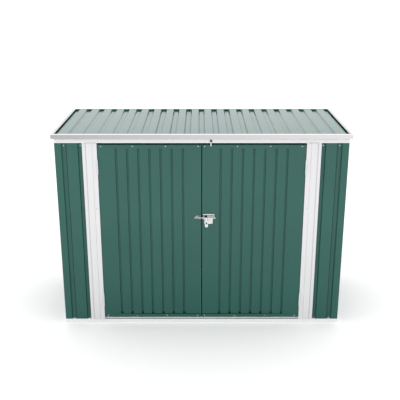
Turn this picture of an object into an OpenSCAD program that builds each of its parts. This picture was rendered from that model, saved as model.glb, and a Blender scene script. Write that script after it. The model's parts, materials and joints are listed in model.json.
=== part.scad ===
// Low galvanised-steel bin store with double doors and a lift-up corrugated lid.
// Units are millimetres. Front faces -Y, width along X, origin at the middle of the footprint.

/* [Overall] */
// Width across the outer faces of the side walls
body_w = 1810; // [1700:10:2100]
// Depth across the outer faces of the front and back walls
body_d = 778; // [700:10:1000]
// Height from the ground to the top of the lid
total_h = 1288; // [1200:10:1500]
// Thickness of the corrugated wall and lid sheets
sheet_t = 1; // [0.8:0.1:1.4]
// Thickness of the folded rails, jambs and trims
fold_t = 1.5; // [1.2:0.1:2]

/* [Lid] */
// How far the lid stands past the front and the back wall
lid_over_y = 26; // [22:1:40]
// How far the lid stands past each side wall
lid_over_x = 14; // [10:1:30]
// Height of the lid's front fascia and skirts
skirt_h = 26.5; // [24:0.5:34]
// Depth of the front trim's top flange
front_flange = 27; // [15:1:40]
// Width of the side trims' top flange
side_flange = 17; // [14:1:24]
// Depth of the back trim's top flange, past the room for the hinges
back_flange = 8; // [5:1:20]
// Width of the hem turned in under the front and side skirts
hem_w = 6; // [3:0.5:7]
// Spacing of the lid sheet's ribs
rib_pitch = 89; // [80:1:100]
// Depth of the lid sheet's valleys
rib_depth = 9.5; // [5:0.5:12]
// Width of a valley at the level of the rib tops
valley_top_w = 41; // [34:1:46]
// Width of a valley's floor
valley_floor_w = 27; // [20:1:32]
// Height of the braces under the lid sheet
lid_brace_h = 16; // [10:1:24]
// Width of the braces under the lid sheet
lid_brace_w = 30; // [20:1:50]
// Distance of each lid brace from the middle
lid_brace_y = 150; // [80:10:250]
// Running gap between the lid sheet and the top rails
lid_gap = 13.5; // [5:0.5:20]

/* [Walls] */
// Spacing of the wall sheets' grooves
wall_pitch = 101; // [90:1:120]
// Width of a wall sheet's groove
groove_w = 33; // [25:1:45]
// Depth of the wall sheets' grooves
groove_depth = 11; // [8:1:14]
// Width of a groove's sloping flank
groove_flank = 5; // [3:1:8]
// Width of the plain strip beside each front corner
corner_flat = 41.5; // [30:0.5:60]
// How far the two back sheets lap
back_lap = 33; // [25:1:60]

/* [Frame] */
// Height of the base rails
base_h = 27; // [20:1:50]
// Depth of the base rails' feet
base_foot = 40; // [32:1:60]
// How far the sill's lip stands behind the face of the front base rail
sill_set_back = 10; // [6:1:20]
// Height of the top rails that shows under the lid
top_rail_face = 31.5; // [28:0.5:50]
// Depth of the top rails
top_rail_depth = 40; // [34:1:60]
// Height of the upstand that backs each sheet
upstand_h = 30; // [15:1:60]
// Leg of the corner posts
post_leg = 34; // [25:1:45]
// Height of the mid rails
mid_rail_h = 40; // [25:1:60]
// Depth of the mid rails
mid_rail_depth = 18; // [10:1:24]
// Height of the mid rails' centre line
mid_rail_z = 620; // [400:10:800]

/* [Doorway] */
// Clear width between the door jambs
doorway_w = 1289; // [1150:1:1350]
// Width of the jamb's outer strip, which laps the front panel
jamb_lap_w = 22.5; // [16:0.5:34]
// Width of the jamb's middle strip
jamb_mid_w = 39.5; // [30:0.5:60]
// Width of the jamb's inner strip, which carries the hinges
jamb_hinge_w = 28.5; // [27:0.5:50]
// How far the jamb's middle and inner strips stand proud of the front panel
jamb_proud = 4; // [2.5:0.5:8]
// Depth of the two beads pressed along the jamb, beside its middle strip
jamb_bead = 2.2; // [0.5:0.1:2.4]
// Width of each bead
jamb_bead_w = 3; // [2:0.5:5]
// Depth of the jamb's return into the doorway
jamb_return = 30.5; // [26:0.5:45]
// Gap between the doors and the header
head_gap = 12; // [6:0.5:15]
// Gap between the doors and the sill
sill_gap = 14; // [8:0.5:20]
// Running gap between the doors and the sill's lip
lip_gap = 5; // [5:0.5:7]
// Gap between the two doors
meeting_gap = 6; // [5:0.5:10]
// Gap between each door and its jamb
hinge_gap = 3; // [2.5:0.5:5]
// How far the head stop hangs below the header
head_stop_drop = 22; // [16:1:40]

/* [Doors] */
// Depth of the doors, front of sheet to back of frame
door_depth = 24; // [20:1:26]
// Spacing of the door sheet's grooves
door_pitch = 68.5; // [60:0.5:75]
// Number of grooves in each door sheet
door_grooves = 7; // [5:1:7]
// Width of a door groove
door_groove_w = 13.5; // [10:0.5:20]
// Depth of a door groove
door_groove_depth = 8; // [5:1:10]
// Width of a door groove's sloping flank
door_groove_flank = 2; // [1:0.5:3]
// Height of the drain slot at the foot of each door groove
drain_h = 10; // [4:1:16]
// Height of the door's top rail flange
door_top_flange = 23; // [16:1:40]
// Height of the door's bottom rail flange
door_bottom_flange = 26; // [16:1:40]
// Width of the door stiles
stile_w = 30; // [20:1:45]
// Thickness of the door's rails and stiles
door_fold_t = 1.2; // [1:0.1:1.6]

/* [Hinges] */
// Diameter of the hinge knuckles
knuckle_d = 8; // [7:0.5:12]
// Diameter of the hinge pins
pin_d = 4; // [3:0.5:5]
// Thickness of the hinge leaves
leaf_t = 1.2; // [1:0.1:1.6]
// Height of each door hinge
door_hinge_h = 92; // [60:1:120]
// Width of the jamb leaf
jamb_leaf_w = 25; // [18:1:27]
// Height of the lower door hinge's centre
low_hinge_z = 174; // [120:1:300]
// Height of the upper door hinge's centre
high_hinge_z = 1079; // [900:1:1100]
// Length of each lid hinge
lid_hinge_l = 90; // [60:1:150]
// Distance of the outer lid hinges from the middle
lid_hinge_x = 600; // [400:10:750]
// Height of the lid hinge's plate on the back rail
lid_plate_h = 20; // [14:1:28]

/* [Latch] */
// Height of the bolt's centre line
bolt_z = 747; // [600:1:900]
// Diameter of the bolt
bolt_d = 9; // [7:0.5:10]
// Length of the bolt
bolt_l = 90; // [86:1:110]
// How far the bolt slides
throw_x = 10; // [9:1:14]
// Distance of the bolt plate from the door's edge
plate_inset = 7; // [5:0.5:12]
// Length of the plate that carries the bolt
plate_l = 72; // [66:1:84]
// Height of the bolt plate under the bolt's centre line
plate_drop = 10; // [9:0.5:16]
// Height of the hollow shelf pressed along the plate's top
shelf_h = 17.5; // [14:0.5:20]
// How far the shelf's front face stands off the door
shelf_out = 6; // [4:0.5:8]
// How far the shelf's top flange stands off the door
shelf_flange = 16; // [9:0.5:20]
// Length of the window in the shelf's face
window_l = 19; // [14:1:26]
// Height of the window in the shelf's face
window_h = 6.5; // [4:0.5:8]
// How far the padlock plate hangs below the bolt plate
tail_h = 33; // [28:1:44]
// Length of the padlock plate
tail_l = 53.5; // [46:0.5:60]
// Width of each guide over the bolt
guide_w = 3; // [3:0.5:6]
// Height of the keeper's plate
keeper_h = 20; // [18:1:30]
// Height of the keeper's plate under the bolt's centre line
keeper_drop = 8; // [7:0.5:12]
// Length of the keeper's plate
keeper_l = 41; // [34:1:50]
// Length of the keeper's bridge over the bolt
keeper_bridge_l = 16; // [10:1:20]
// Distance of the keeper from the door's edge
keeper_inset = 3; // [2:0.5:6]
// Thickness of the latch's pressed steel
latch_t = 1.2; // [1:0.1:1.6]
// Width of the bolt's hanging handle
handle_w = 20; // [18:1:28]
// Distance of the handle from the plate's end, the bolt drawn back
handle_inset = 20; // [19:0.5:26]
// Width of the handle's neck
neck_w = 11; // [8:1:12]
// How far the handle reaches below the bolt's centre line
handle_drop = 61.5; // [56:0.5:72]
// Height of the handle's loop
handle_loop_h = 48; // [42:1:52]
// Width of the slot in the handle
slot_w = 9; // [8:0.5:12]
// Height of the slot in the handle
slot_h = 20; // [16:1:24]
// How far the slot's centre lies below the bolt's centre line
slot_drop = 31.5; // [30:0.5:40]
// Thickness of the handle
handle_t = 2.5; // [2:0.1:3]
// Diameter of the padlock eye
eye_d = 6; // [5:0.5:8]

/* [Door stop] */
// Distance of the stop from the middle
stop_x = 56.5; // [40:0.5:120]
// Width of the stop's strap
stop_w = 6; // [5:1:12]
// How far the strap laps the door's top rail
stop_lap = 7.5; // [5:0.5:14]
// Height of the stop's button above the header's lower edge
stop_button_z = 13; // [10:0.5:20]
// Diameter of the stop's button
stop_button_d = 13; // [10:1:16]
// Thickness of the stop's button
stop_button_t = 3; // [2:0.5:5]

/* [Hidden] */

green = "#3f7368";
white = "#eef0f0";
zinc = "#b9bdc0";
dark = "#26292a";

// Running fits
pin_clear = 0.05;
knuckle_clear = 0.5;
bolt_clear = 0.4;
axis_clear = 0.2;
brace_clear = 8;

// Outer planes of the body and the lid
wall_x = body_w / 2;
wall_y = body_d / 2;
lid_x = wall_x + lid_over_x;
lid_y = wall_y + lid_over_y;

// Levels of the lid
flange_z = total_h - fold_t;
valley_z = flange_z - rib_depth;
skirt_z = total_h - skirt_h;
rail_top_z = valley_z - sheet_t - lid_gap;
header_z = rail_top_z - top_rail_face;
hinge_room = knuckle_d + 2;
lid_end_y = lid_y - fold_t - hinge_room;

// Inner face of the sheets' grooves
sheet_in = groove_depth + sheet_t;

// Doorway
jamb_x = doorway_w / 2;
jamb_w = jamb_lap_w + jamb_mid_w + jamb_hinge_w;
door_top_z = header_z - head_gap;
door_bottom_z = base_h + sill_gap;
door_outer_x = jamb_x - hinge_gap;
door_inner_x = meeting_gap / 2;
door_w = door_outer_x - door_inner_x;
stop_depth = door_depth + 5;

// Door hinge axis: proud of the jamb face, on the jamb's edge
door_axis_y = -wall_y - jamb_proud - knuckle_d / 2 - axis_clear;

// Lid hinge axis: under the back skirt, tangent to its inner face
lid_axis_y = lid_y - fold_t - knuckle_d / 2;
lid_axis_z = skirt_z - knuckle_d / 2;

// Latch: the bolt is drawn back, its tip just short of the door's edge
bolt_stand_off = 2.5;
bolt_depth = latch_t + bolt_stand_off + bolt_d / 2;
bolt_tip_x = -door_inner_x + 1;
bridge_h = bolt_d + 2 * bolt_clear;
bridge_out = bolt_depth + bolt_d / 2 + bolt_clear;
handle_depth = bridge_out + 2 * latch_t;
plate_x = door_inner_x + plate_inset;
handle_x = plate_x + handle_inset;
eye_x = handle_x - throw_x;
eye_z = bolt_z - slot_drop;
tail_x = eye_x - eye_d / 2 - latch_t;
tail_z = bolt_z - plate_drop - tail_h;
shelf_z = bolt_z + bridge_h / 2 + latch_t;
keeper_x = -door_inner_x - keeper_inset;

// Front-to-back or side-to-side corrugated section: flats at depth 0, grooves pressed in.
// Runs from u0 to u1, the first groove starting at first.
function groove_starts(u1, first) =
    [for (k = [0 : floor((u1 - first - groove_w) / wall_pitch)]) first + k * wall_pitch];

// The flat after the last groove lies at end_depth, so that it can pass under a neighbour.
function wall_line(starts, u0, u1, end_depth) = concat(
    [[u0, 0]],
    [for (k = [0 : len(starts) - 1]) each [
        [starts[k], 0],
        [starts[k] + groove_flank, groove_depth],
        [starts[k] + groove_w - groove_flank, groove_depth],
        [starts[k] + groove_w, k == len(starts) - 1 ? end_depth : 0]
    ]],
    [[u1, end_depth]]
);

function shifted(points, dv) = [for (p = points) [p[0], p[1] + dv]];
function reversed(points) = [for (i = [len(points) - 1 : -1 : 0]) points[i]];

module sheet_section(points) {
    polygon(concat(points, reversed(shifted(points, sheet_t))));
}

// Wall sheet standing from z0 to z1, its face towards -Y at y = 0
module wall_sheet(starts, u0, u1, end_depth = 0) {
    translate([0, 0, base_h]) linear_extrude(header_z - base_h) {
        sheet_section(wall_line(starts, u0, u1, end_depth));
    }
}

// Places a piece made for the front wall on the back, left or right wall
module on_front() { translate([0, -wall_y, 0]) children(); }
module on_back() { rotate([0, 0, 180]) translate([0, -wall_y, 0]) children(); }
module on_left() { rotate([0, 0, -90]) translate([0, -wall_x, 0]) children(); }
module on_right() { rotate([0, 0, 90]) translate([0, -wall_x, 0]) children(); }

// Extrudes a section drawn as (depth, z) along X from u0 to u1
module along_wall(u0, u1) {
    translate([u0, 0, 0]) rotate([90, 0, 90]) linear_extrude(u1 - u0) children();
}

// Base rails
module base_section(upstand) {
    square([base_foot, fold_t]);
    square([fold_t, base_h]);
    translate([0, base_h - fold_t]) square([upstand ? sheet_in + fold_t : base_foot, fold_t]);
    if (upstand) {
        translate([sheet_in, base_h - fold_t]) square([fold_t, upstand_h + fold_t]);
    }
}

module long_base_rail(upstand) {
    along_wall(-wall_x, wall_x) base_section(false);
    for (side = [-1, 1]) {
        translate([side * (wall_x - fold_t / 2) - fold_t / 2, 0, 0]) cube([fold_t, base_foot, base_h]);
    }
    if (upstand) {
        half = wall_x - sheet_in - fold_t;
        along_wall(-half, half) {
            translate([sheet_in, base_h - fold_t]) square([fold_t, upstand_h + fold_t]);
        }
    }
}

// The sill's lip stands under the doors, between the jambs
module base_rail_front() {
    color(white) on_front() {
        long_base_rail(false);
        along_wall(-jamb_x, jamb_x) translate([sill_set_back, base_h - fold_t]) {
            square([fold_t, fold_t + sill_gap - lip_gap]);
        }
    }
}

module base_rail_back() { color(white) on_back() long_base_rail(true); }

module short_base_rail() {
    half = wall_y - base_foot;
    color(white) along_wall(-half, half) base_section(true);
}

module base_rail_left() { on_left() short_base_rail(); }
module base_rail_right() { on_right() short_base_rail(); }

// Top rails
module top_section(upstand) {
    translate([0, header_z]) square([fold_t, top_rail_face]);
    translate([0, rail_top_z - fold_t]) square([top_rail_depth, fold_t]);
    translate([0, header_z]) square([upstand ? sheet_in + fold_t : top_rail_depth, fold_t]);
    if (upstand) {
        translate([sheet_in, header_z - upstand_h]) square([fold_t, upstand_h + fold_t]);
    }
}

module long_top_rail(upstand) {
    along_wall(-wall_x, wall_x) top_section(false);
    for (side = [-1, 1]) {
        translate([side * (wall_x - fold_t / 2) - fold_t / 2, 0, header_z]) {
            cube([fold_t, top_rail_depth, top_rail_face]);
        }
    }
    if (upstand) {
        half = wall_x - sheet_in - fold_t;
        along_wall(-half, half) {
            translate([sheet_in, header_z - upstand_h]) square([fold_t, upstand_h + fold_t]);
        }
    }
}

module top_rail_front() { color(white) on_front() long_top_rail(false); }
module top_rail_back() { color(white) on_back() long_top_rail(true); }

module short_top_rail() {
    half = wall_y - top_rail_depth;
    color(white) along_wall(-half, half) top_section(true);
}

module top_rail_left() { on_left() short_top_rail(); }
module top_rail_right() { on_right() short_top_rail(); }

// Corner posts: angles inside the four corners, between the base and the top rails
module corner_post() {
    leg_x = wall_x - sheet_in - fold_t;
    leg_y = wall_y - sheet_in - fold_t;
    translate([0, 0, base_h]) linear_extrude(header_z - base_h) {
        translate([leg_x - post_leg, -leg_y]) square([post_leg, fold_t]);
        translate([leg_x - fold_t, -leg_y]) square([fold_t, post_leg]);
    }
}

module corner_posts() {
    color(zinc) for (mx = [0, 1], my = [0, 1]) {
        mirror([mx, 0, 0]) mirror([0, my, 0]) corner_post();
    }
}

// Mid rails: hat channels across the back and the side walls, at the sheets' inner face
module mid_rail(half) {
    translate([-half, sheet_in, mid_rail_z - mid_rail_h / 2]) {
        difference() {
            cube([2 * half, mid_rail_depth, mid_rail_h]);
            translate([-1, -1, fold_t]) {
                cube([2 * half + 2, mid_rail_depth + 1 - fold_t, mid_rail_h - 2 * fold_t]);
            }
        }
    }
}

module wall_mid_rails() {
    post_reach = sheet_in + fold_t + post_leg;
    color(zinc) {
        on_back() mid_rail(wall_x - post_reach);
        on_left() mid_rail(wall_y - post_reach);
        on_right() mid_rail(wall_y - post_reach);
    }
}

// Front panels, from the corner to behind the jamb
module front_panel() {
    first = -wall_x + corner_flat;
    u1 = -jamb_x - jamb_hinge_w - jamb_mid_w / 2;
    on_front() wall_sheet(groove_starts(u1, first), -wall_x, u1);
}

module front_panel_left() { color(green) front_panel(); }
module front_panel_right() { color(green) mirror([1, 0, 0]) front_panel(); }

// Side walls, between the front and the back sheets
module side_wall() {
    half = wall_y - sheet_t;
    count = floor((2 * half - groove_w) / wall_pitch);
    first = -(groove_w + (count - 1) * wall_pitch) / 2;
    starts = [for (k = [0 : count - 1]) first + k * wall_pitch];
    wall_sheet(starts, -half, half);
}

module side_wall_left() { color(green) on_left() side_wall(); }
module side_wall_right() { color(green) on_right() side_wall(); }

// Back wall: two sheets that lap on the middle rib, the right one's edge under the left one's
module back_sheet(edge_depth) {
    starts = groove_starts(0, -wall_x + corner_flat);
    wall_sheet(starts, -wall_x, back_lap / 2, edge_depth);
}

module back_sheet_left() { color(green) mirror([1, 0, 0]) on_back() back_sheet(0); }
module back_sheet_right() { color(green) on_back() back_sheet(sheet_t); }

// Door jambs: folded strip lapping the panel, standing proud round the doorway, with two pressed beads
function bead(x) = [
    [x - jamb_bead_w / 2, -jamb_proud],
    [x, -jamb_proud + jamb_bead],
    [x + jamb_bead_w / 2, -jamb_proud]
];

module jamb_section() {
    inner_bead = -jamb_x - jamb_hinge_w;
    outer_bead = inner_bead - jamb_mid_w;
    step_x = outer_bead - jamb_bead_w / 2 - 1;
    face = concat(
        [
            [outer_bead - jamb_lap_w, -fold_t],
            [step_x - jamb_proud + fold_t, -fold_t],
            [step_x, -jamb_proud]
        ],
        bead(outer_bead),
        bead(inner_bead),
        [[-jamb_x, -jamb_proud]]
    );
    polygon(concat(face, reversed(shifted(face, fold_t))));
    translate([-jamb_x - fold_t, -jamb_proud]) square([fold_t, jamb_proud + jamb_return]);
}

module door_jamb() {
    on_front() translate([0, 0, base_h]) linear_extrude(header_z - base_h) jamb_section();
}

module door_jamb_left() { color(white) door_jamb(); }
module door_jamb_right() { color(white) mirror([1, 0, 0]) door_jamb(); }

// Head stop: angle under the header, behind the doors
module door_head_stop() {
    color(green) on_front() along_wall(-jamb_x, jamb_x) {
        translate([stop_depth, header_z - head_stop_drop]) square([fold_t, head_stop_drop]);
        translate([stop_depth, header_z - fold_t]) square([top_rail_depth - stop_depth, fold_t]);
    }
}

// Hinges: the outer knuckles hold the pin, the middle knuckle turns on it
module hinge_outer(h) {
    third = h / 3;
    for (z0 = [0, 2 * third + knuckle_clear]) {
        translate([0, 0, z0]) cylinder(d = knuckle_d, h = third - knuckle_clear, $fn = 48);
    }
    cylinder(d = pin_d, h = h, $fn = 48);
}

module hinge_middle(h) {
    difference() {
        translate([0, 0, h / 3]) cylinder(d = knuckle_d, h = h / 3, $fn = 48);
        translate([0, 0, -1]) cylinder(d = pin_d + 2 * pin_clear, h = h + 2, $fn = 48);
    }
}

// Jamb leaf of one door hinge, left side: a flat leaf on the jamb with the outer knuckles
module jamb_leaf(z_mid) {
    third = door_hinge_h / 3;
    face_y = -wall_y - jamb_proud;
    translate([-jamb_x, door_axis_y, z_mid - door_hinge_h / 2]) {
        hinge_outer(door_hinge_h);
        for (z0 = [0, 2 * third + knuckle_clear]) {
            translate([-knuckle_d / 2 - 1, face_y - leaf_t - door_axis_y, z0]) {
                cube([knuckle_d / 2 + 1, leaf_t, third - knuckle_clear]);
            }
        }
        translate([-jamb_leaf_w, face_y - leaf_t - door_axis_y, 0]) {
            cube([jamb_leaf_w - knuckle_d / 2 - 0.5, leaf_t, door_hinge_h]);
        }
    }
}

module door_hinge_plates() {
    color(white) for (side = [0, 1], z_mid = [low_hinge_z, high_hinge_z]) {
        mirror([side, 0, 0]) jamb_leaf(z_mid);
    }
}

// Door leaf of one hinge, left side: middle knuckle and a leaf on the door's edge
module door_leaf(z_mid) {
    third = door_hinge_h / 3;
    leaf_end_y = -wall_y + door_depth - 4;
    leaf_x = -door_outer_x - leaf_t;
    difference() {
        union() {
            translate([-jamb_x, door_axis_y, z_mid - door_hinge_h / 2]) {
                translate([0, 0, third]) cylinder(d = knuckle_d, h = third, $fn = 48);
            }
            translate([leaf_x, door_axis_y, z_mid - third / 2]) {
                cube([leaf_t, leaf_end_y - door_axis_y, third]);
            }
            translate([leaf_x, -wall_y, z_mid - door_hinge_h / 2]) {
                cube([leaf_t, leaf_end_y + wall_y, door_hinge_h]);
            }
        }
        translate([-jamb_x, door_axis_y, z_mid - door_hinge_h]) {
            cylinder(d = pin_d + 2 * pin_clear, h = 2 * door_hinge_h, $fn = 48);
        }
    }
}

module door_hinge_leaves() {
    for (z_mid = [low_hinge_z, high_hinge_z]) door_leaf(z_mid);
}

module door_left_hinge_leaves() { color(white) door_hinge_leaves(); }
module door_right_hinge_leaves() { color(white) mirror([1, 0, 0]) door_hinge_leaves(); }

// Lid hinges along the back, their axis along X
module lid_hinge_places() {
    for (x = [-lid_hinge_x, 0, lid_hinge_x]) {
        translate([x - lid_hinge_l / 2, lid_axis_y, lid_axis_z]) children();
    }
}

module lid_hinge_plates() {
    reach = lid_axis_y - wall_y;
    third = lid_hinge_l / 3;
    color(zinc) lid_hinge_places() {
        rotate([90, 0, 90]) hinge_outer(lid_hinge_l);
        for (x0 = [0, 2 * third + knuckle_clear]) {
            translate([x0, -reach, -leaf_t / 2]) cube([third - knuckle_clear, reach, leaf_t]);
        }
        translate([0, -reach, leaf_t / 2 - lid_plate_h]) cube([lid_hinge_l, leaf_t, lid_plate_h]);
    }
}

module lid_hinge_leaves() {
    third = lid_hinge_l / 3;
    leaf_top = flange_z - fold_t - lid_axis_z;
    color(zinc) lid_hinge_places() {
        difference() {
            union() {
                translate([third, 0, 0]) rotate([90, 0, 90]) cylinder(d = knuckle_d, h = third, $fn = 48);
                translate([third, knuckle_d / 2 - leaf_t, 0]) cube([third, leaf_t, leaf_top]);
                translate([0, knuckle_d / 2 - leaf_t, knuckle_d / 2]) {
                    cube([lid_hinge_l, leaf_t, leaf_top - knuckle_d / 2]);
                }
            }
            translate([-1, 0, 0]) rotate([90, 0, 90]) {
                cylinder(d = pin_d + 2 * pin_clear, h = lid_hinge_l + 2, $fn = 48);
            }
        }
    }
}

// Lid sheet: ribs run front to back, with a valley on the centre line and one along each side, and an
// upstand at each side
lid_rib_pairs = floor((lid_x - side_flange + valley_top_w / 2) / rib_pitch);

function lid_line(edge) = concat(
    [[-edge, valley_z]],
    [for (k = [-lid_rib_pairs : lid_rib_pairs - 1]) each [
        [k * rib_pitch + valley_floor_w / 2, valley_z],
        [k * rib_pitch + valley_top_w / 2, flange_z],
        [(k + 1) * rib_pitch - valley_top_w / 2, flange_z],
        [(k + 1) * rib_pitch - valley_floor_w / 2, valley_z]
    ]],
    [[edge, valley_z]]
);

module lid_section() {
    edge = lid_x - fold_t;
    top = lid_line(edge);
    polygon(concat(top, reversed(shifted(top, -sheet_t))));
    for (x = [-edge, edge - sheet_t]) translate([x, valley_z - sheet_t]) {
        square([sheet_t, flange_z - valley_z + sheet_t]);
    }
}

module lid_sheet() {
    front = lid_y - fold_t;
    color(green) translate([0, lid_end_y, 0]) rotate([90, 0, 0]) {
        linear_extrude(front + lid_end_y) lid_section();
    }
}

module lid_back_closure() {
    half = lid_x - fold_t;
    color(green) translate([-half, lid_end_y, valley_z - sheet_t]) {
        cube([2 * half, sheet_t, flange_z - valley_z + sheet_t]);
    }
}

// Lid trims: angles with a skirt, a top flange and a hem turned in under the skirt
module trim_section(flange, hem) {
    translate([0, skirt_z]) square([fold_t, skirt_h]);
    translate([0, flange_z]) square([flange, fold_t]);
    translate([0, skirt_z]) square([fold_t + hem, fold_t]);
}

module lid_front_trim() {
    color(white) translate([0, -lid_y, 0]) {
        along_wall(-lid_x, lid_x) trim_section(front_flange, 0);
        half = lid_x - fold_t - hem_w;
        along_wall(-half, half) trim_section(front_flange, hem_w);
    }
}

module lid_back_trim() {
    color(white) rotate([0, 0, 180]) translate([0, -lid_y, 0]) {
        along_wall(-lid_x, lid_x) trim_section(fold_t + hinge_room + back_flange, 0);
    }
}

module lid_side_trim() {
    front = lid_y - front_flange;
    back = lid_end_y - back_flange;
    end = lid_y - fold_t;
    translate([-lid_x, back, 0]) rotate([90, 0, 0]) {
        linear_extrude(front + back) trim_section(side_flange, hem_w);
    }
    translate([-lid_x, end, 0]) rotate([90, 0, 0]) linear_extrude(2 * end) {
        translate([0, skirt_z]) square([fold_t, skirt_h - fold_t]);
    }
}

module lid_side_trim_left() { color(white) lid_side_trim(); }
module lid_side_trim_right() { color(white) mirror([1, 0, 0]) lid_side_trim(); }

// Lid braces: channels across the underside of the sheet, inside the top rails
module lid_braces() {
    half = wall_x - top_rail_depth - brace_clear;
    top = valley_z - sheet_t;
    color(zinc) for (y = [-lid_brace_y, lid_brace_y]) {
        translate([-half, y - lid_brace_w / 2, top - lid_brace_h]) {
            difference() {
                cube([2 * half, lid_brace_w, lid_brace_h]);
                translate([-1, fold_t, -1]) {
                    cube([2 * half + 2, lid_brace_w - 2 * fold_t, lid_brace_h + 1 - fold_t]);
                }
            }
        }
    }
}

// Doors, drawn as the left one; the right one is its mirror image
function door_groove_centres() =
    [for (k = [0 : door_grooves - 1])
        -door_outer_x + door_w / 2 + (k - (door_grooves - 1) / 2) * door_pitch];

function door_line() = concat(
    [[-door_outer_x, 0]],
    [for (c = door_groove_centres()) each [
        [c - door_groove_w / 2, 0],
        [c - door_groove_w / 2 + door_groove_flank, door_groove_depth],
        [c + door_groove_w / 2 - door_groove_flank, door_groove_depth],
        [c + door_groove_w / 2, 0]
    ]],
    [[-door_inner_x, 0]]
);

module door_sheet() {
    z0 = door_bottom_z + door_fold_t;
    z1 = door_top_z - door_fold_t;
    slot = door_groove_w - 2 * door_groove_flank;
    on_front() difference() {
        translate([0, 0, z0]) linear_extrude(z1 - z0) sheet_section(door_line());
        for (c = door_groove_centres()) {
            translate([c - slot / 2, door_groove_depth - 1, door_bottom_z + door_bottom_flange]) {
                cube([slot, sheet_t + 2, drain_h]);
            }
        }
    }
}

// Channel that caps the sheet's end: front flange, web and back flange
module door_rail_section(flange_h) {
    translate([-door_fold_t, 0]) square([door_fold_t, flange_h]);
    translate([-door_fold_t, 0]) square([door_depth + door_fold_t, door_fold_t]);
    translate([door_depth - door_fold_t, 0]) square([door_fold_t, flange_h]);
}

module door_bottom_rail() {
    on_front() translate([0, 0, door_bottom_z]) {
        along_wall(-door_outer_x, -door_inner_x) door_rail_section(door_bottom_flange);
    }
}

module door_top_rail() {
    on_front() translate([0, 0, door_top_z]) mirror([0, 0, 1]) {
        along_wall(-door_outer_x, -door_inner_x) door_rail_section(door_top_flange);
    }
}

// Stile: channel behind the sheet, its back towards the door's edge
module door_stile(edge_x, inward) {
    depth = door_depth - door_fold_t - sheet_t;
    z0 = door_bottom_z + door_fold_t;
    height = door_top_z - door_fold_t - z0;
    on_front() translate([edge_x, sheet_t, z0]) mirror([inward > 0 ? 0 : 1, 0, 0]) {
        linear_extrude(height) {
            square([door_fold_t, depth]);
            square([stile_w, door_fold_t]);
            translate([0, depth - door_fold_t]) square([stile_w, door_fold_t]);
        }
    }
}

module door_hinge_stile() { door_stile(-door_outer_x, 1); }
module door_meeting_stile() { door_stile(-door_inner_x, -1); }

module door_left_sheet() { color(green) door_sheet(); }
module door_left_top_rail() { color(green) door_top_rail(); }
module door_left_bottom_rail() { color(green) door_bottom_rail(); }
module door_left_hinge_stile() { color(white) door_hinge_stile(); }
module door_left_meeting_stile() { color(white) door_meeting_stile(); }
module door_right_sheet() { color(green) mirror([1, 0, 0]) door_sheet(); }
module door_right_top_rail() { color(green) mirror([1, 0, 0]) door_top_rail(); }
module door_right_bottom_rail() { color(green) mirror([1, 0, 0]) door_bottom_rail(); }
module door_right_hinge_stile() { color(white) mirror([1, 0, 0]) door_hinge_stile(); }
module door_right_meeting_stile() { color(white) mirror([1, 0, 0]) door_meeting_stile(); }

// Bridge over the bolt: a bent strap, open along X, its feet on the plate
module bridge(length) {
    outer_h = bridge_h + 2 * latch_t;
    translate([0, -bridge_out - latch_t, bolt_z - outer_h / 2]) difference() {
        cube([length, bridge_out + latch_t, outer_h]);
        translate([-1, latch_t, latch_t]) cube([length + 2, bridge_out + latch_t, bridge_h]);
    }
}

// Flat plate in the door's plane, drawn as (x, z)
module door_plate(thick) {
    rotate([90, 0, 0]) linear_extrude(thick) children();
}

// Upright slot with round ends, drawn around its centre
module slot_shape(w, h) {
    square([w, h - w], center = true);
    for (side = [-1, 1]) translate([0, side * (h - w) / 2]) circle(d = w, $fn = 48);
}

// Keeper: a plate that narrows away from the door's edge, with a bridge for the bolt
module bolt_keeper() {
    low = bolt_z - keeper_drop;
    color(zinc) on_front() {
        door_plate(latch_t) polygon([
            [keeper_x, low],
            [keeper_x, low + keeper_h],
            [keeper_x - keeper_l * 2 / 3, low + keeper_h],
            [keeper_x - keeper_l, low + keeper_h / 3],
            [keeper_x - keeper_l, low]
        ]);
        translate([keeper_x - keeper_bridge_l, 0, 0]) bridge(keeper_bridge_l);
    }
}

// Outline of the bolt plate with the padlock plate hanging from it
module plate_outline() {
    low = bolt_z - plate_drop;
    right = plate_x + plate_l;
    tail_right = tail_x + tail_l;
    cut = 3;
    polygon([
        [plate_x, shelf_z],
        [plate_x, low],
        [tail_x, low - cut],
        [tail_x, tail_z + cut],
        [tail_x + cut, tail_z],
        [tail_right - cut, tail_z],
        [tail_right, tail_z + cut],
        [tail_right, low - cut],
        [right, bolt_z - cut],
        [right, shelf_z]
    ]);
}

// Section of the shelf along the plate's top, drawn as (depth, z)
module shelf_section() {
    translate([-shelf_out, shelf_z]) square([shelf_out, latch_t]);
    translate([-shelf_out, shelf_z]) square([latch_t, shelf_h]);
    translate([-shelf_flange, shelf_z + shelf_h - latch_t]) square([shelf_flange, latch_t]);
}

module bolt_plate() {
    color(zinc) on_front() {
        difference() {
            door_plate(latch_t) plate_outline();
            translate([eye_x, 1, eye_z]) rotate([90, 0, 0]) cylinder(d = eye_d, h = latch_t + 2, $fn = 48);
        }
        difference() {
            along_wall(plate_x, plate_x + plate_l) shelf_section();
            translate([plate_x + plate_inset + window_l / 2, 0, shelf_z + latch_t + window_h / 2]) {
                door_plate(shelf_out + 1) rotate(90) slot_shape(window_h, window_l);
            }
        }
        for (x = [plate_x, plate_x + plate_l - guide_w]) translate([x, 0, 0]) bridge(guide_w);
    }
}

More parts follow.
